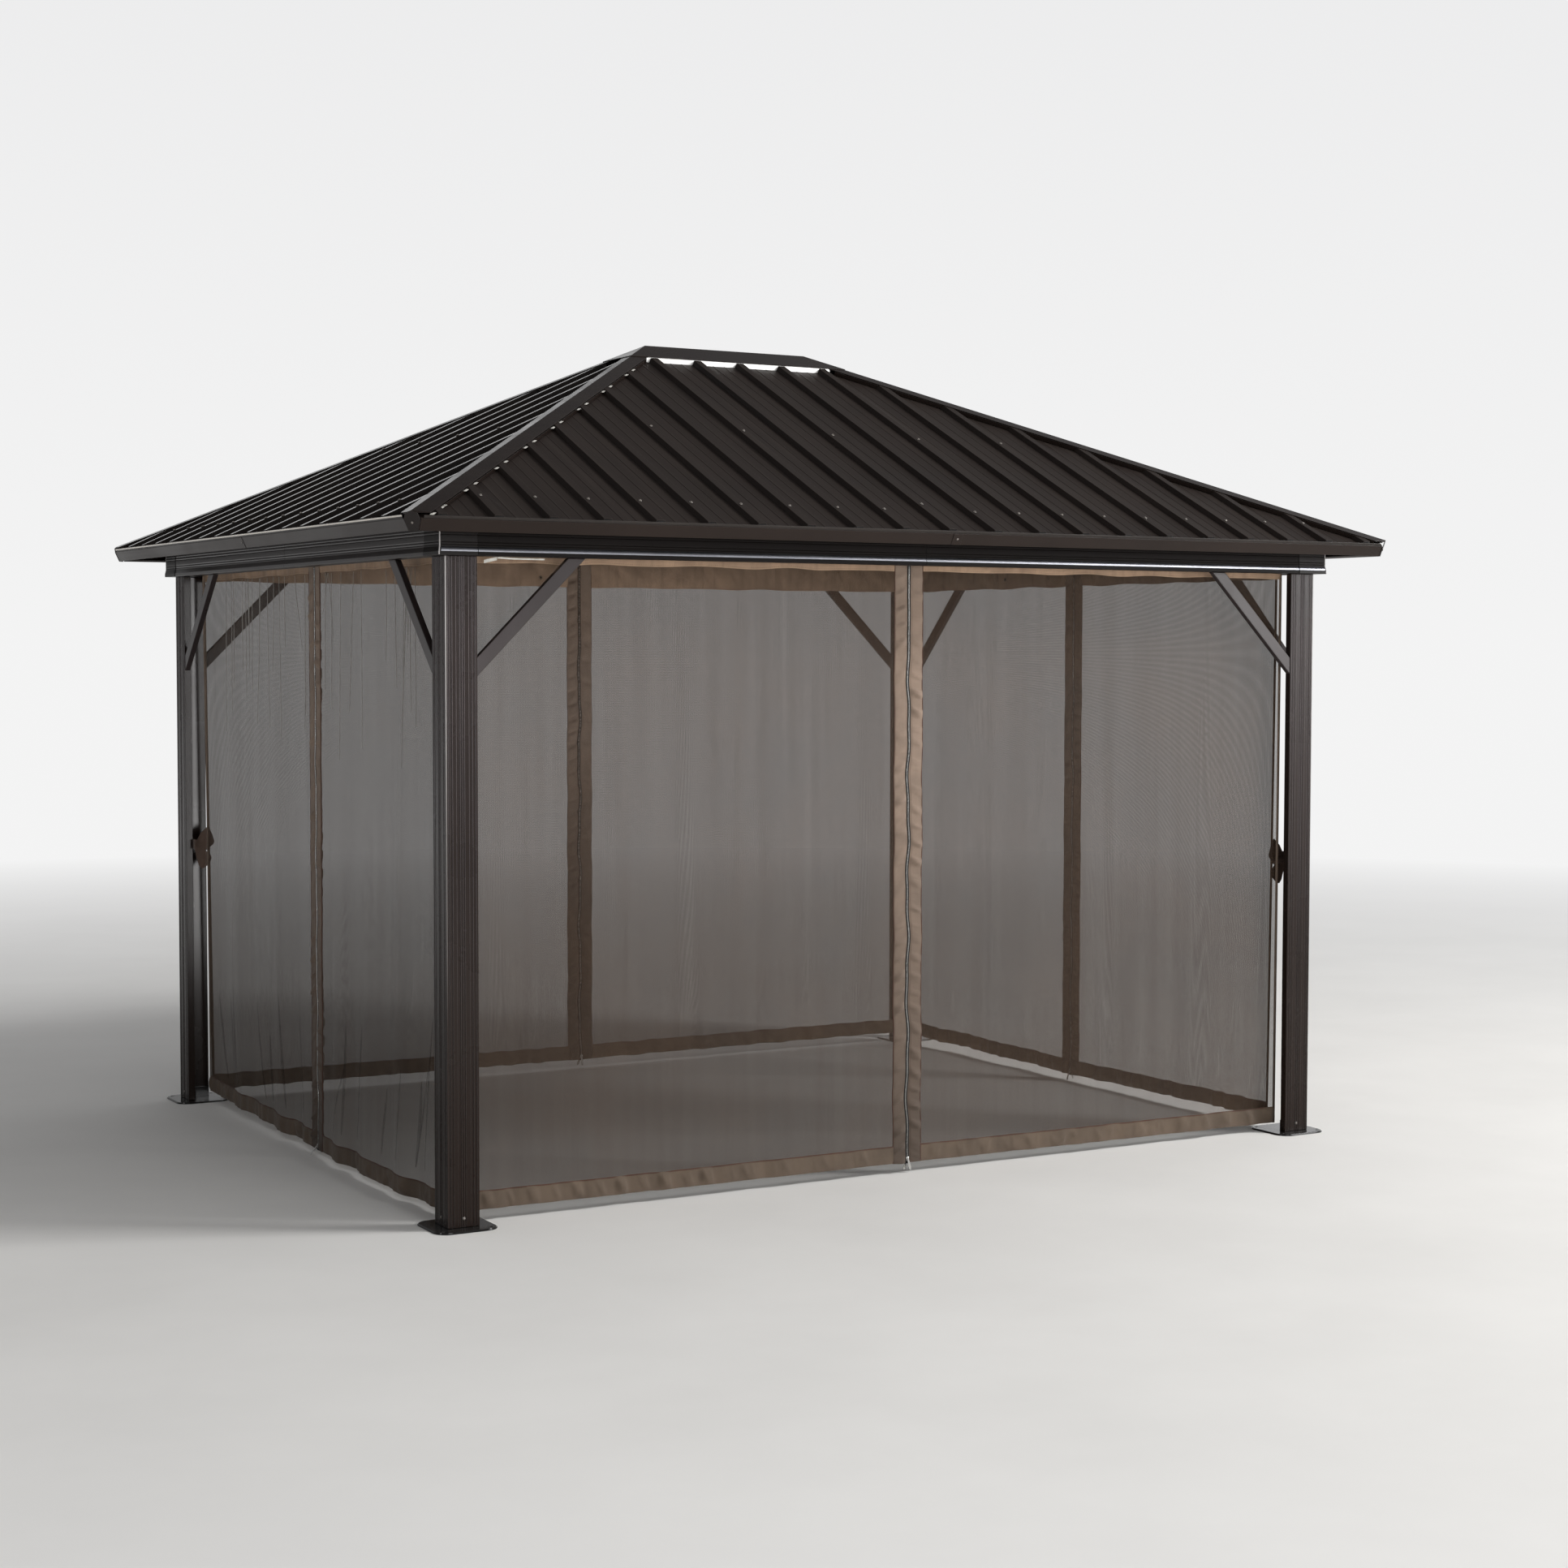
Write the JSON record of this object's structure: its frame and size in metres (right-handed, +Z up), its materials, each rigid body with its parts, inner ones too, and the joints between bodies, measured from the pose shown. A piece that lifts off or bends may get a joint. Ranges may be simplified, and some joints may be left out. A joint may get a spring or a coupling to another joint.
{
  "type": "metal gazebo",
  "caption": "Hip-roofed metal gazebo: L-shaped fluted posts on foot plates, knee braces, beams, ribbed sheet roof with hip and ridge caps, and zipped mosquito nets on all sides.",
  "frame": {"origin": "middle of the footprint at ground level, under the foot plates", "axes": "+X along the long side to the right, the front faces -Y, +Z up"},
  "size_m": [3.63, 2.98, 2.7704],
  "materials": {
    "post_paint": "satin bronze powder coat",
    "foot_paint": "gloss dark bronze powder coat",
    "beam_paint": "satin bronze powder coat",
    "frame_paint": "satin bronze powder coat",
    "roof_paint": "matt dark brown baked enamel on steel sheet",
    "trim_paint": "satin dark brown baked enamel on steel sheet",
    "closure_metal": "bare satin aluminium",
    "rail_metal": "bare satin aluminium",
    "net_fabric": "open-weave polyester net with taupe woven bands"
  },
  "bodies": {
    "root": {"post_front_left": "post_paint", "post_front_right": "post_paint", "post_back_left": "post_paint", "post_back_right": "post_paint", "foot_front_left": "foot_paint", "foot_front_right": "foot_paint", "foot_back_left": "foot_paint", "foot_back_right": "foot_paint", "braces_front_left": "post_paint", "braces_front_right": "post_paint", "braces_back_left": "post_paint", "braces_back_right": "post_paint", "beam_front": "beam_paint", "beam_right": "beam_paint", "beam_back": "beam_paint", "beam_left": "beam_paint", "beam_corner_front_left": "beam_paint", "beam_corner_front_right": "beam_paint", "beam_corner_back_left": "beam_paint", "beam_corner_back_right": "beam_paint", "eave_rails": "frame_paint", "hip_rafters": "frame_paint", "mid_purlins": "frame_paint", "ridge_beam": "frame_paint", "roof_front": "roof_paint", "roof_right": "roof_paint", "roof_back": "roof_paint", "roof_left": "roof_paint", "hip_cap_front_left": "trim_paint", "hip_cap_front_right": "trim_paint", "hip_cap_back_left": "trim_paint", "hip_cap_back_right": "trim_paint", "ridge_cap": "trim_paint", "ridge_closures": "closure_metal", "fascia_front": "trim_paint", "fascia_right": "trim_paint", "fascia_back": "trim_paint", "fascia_left": "trim_paint", "roof_corner_caps": "trim_paint", "net_rails": "rail_metal", "net_front": "net_fabric", "net_right": "net_fabric", "net_back": "net_fabric", "net_left": "net_fabric"}
  },
  "joints": []
}
